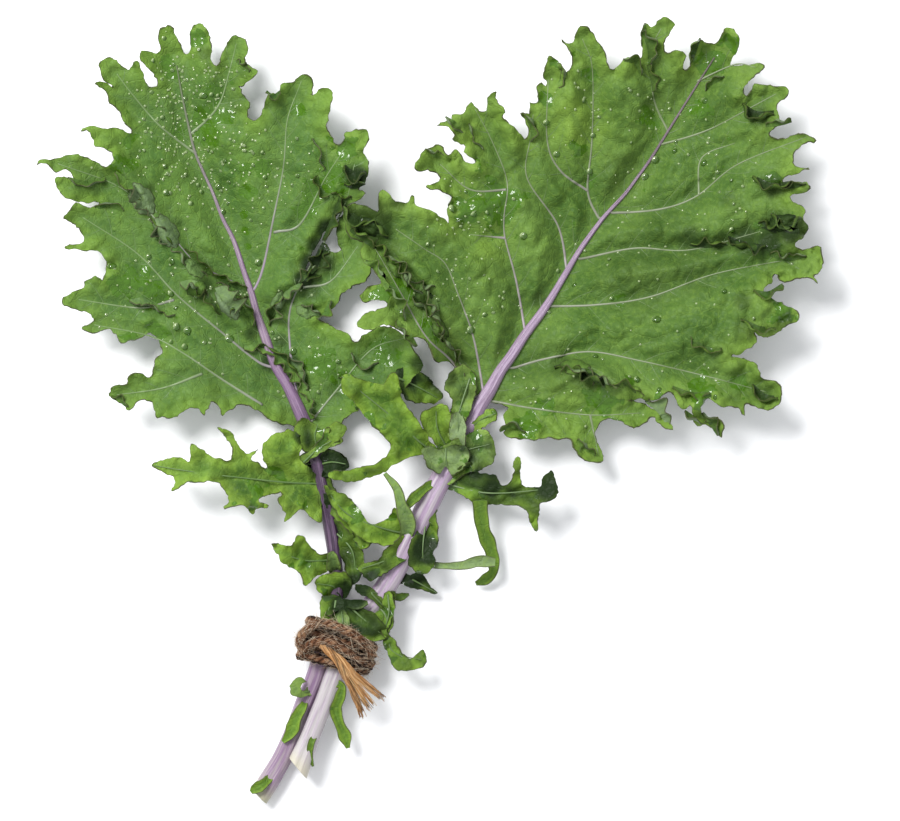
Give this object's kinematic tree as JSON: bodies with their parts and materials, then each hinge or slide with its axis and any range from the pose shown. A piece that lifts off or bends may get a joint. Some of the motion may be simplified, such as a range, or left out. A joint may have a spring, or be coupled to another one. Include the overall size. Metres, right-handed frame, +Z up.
{
  "type": "purple kale bunch",
  "caption": "Bunch of cut-edged purple kale leaves lying flat, their leafy petioles tied together with jute twine.",
  "frame": {"origin": "centre of the bunch in plan, on the surface that it lies on", "axes": "+Z up from the surface, +Y from the cut stems towards the leaf tips, +X to the right seen from above"},
  "size_m": [0.3276, 0.3295, 0.0309],
  "materials": {
    "blade": "waxy leaf, paler veins, wet in places",
    "petiole_violet": "smooth violet petiole with green leaflets",
    "petiole_lilac": "smooth pale lilac petiole with green leaflets",
    "jute": "hairy twisted fibre"
  },
  "bodies": {
    "root": {"leaf_left_blade": "blade", "leaf_left_stem": "petiole_violet", "leaf_right_blade": "blade", "leaf_right_stem": "petiole_lilac", "twine_tie": "jute"}
  },
  "joints": []
}
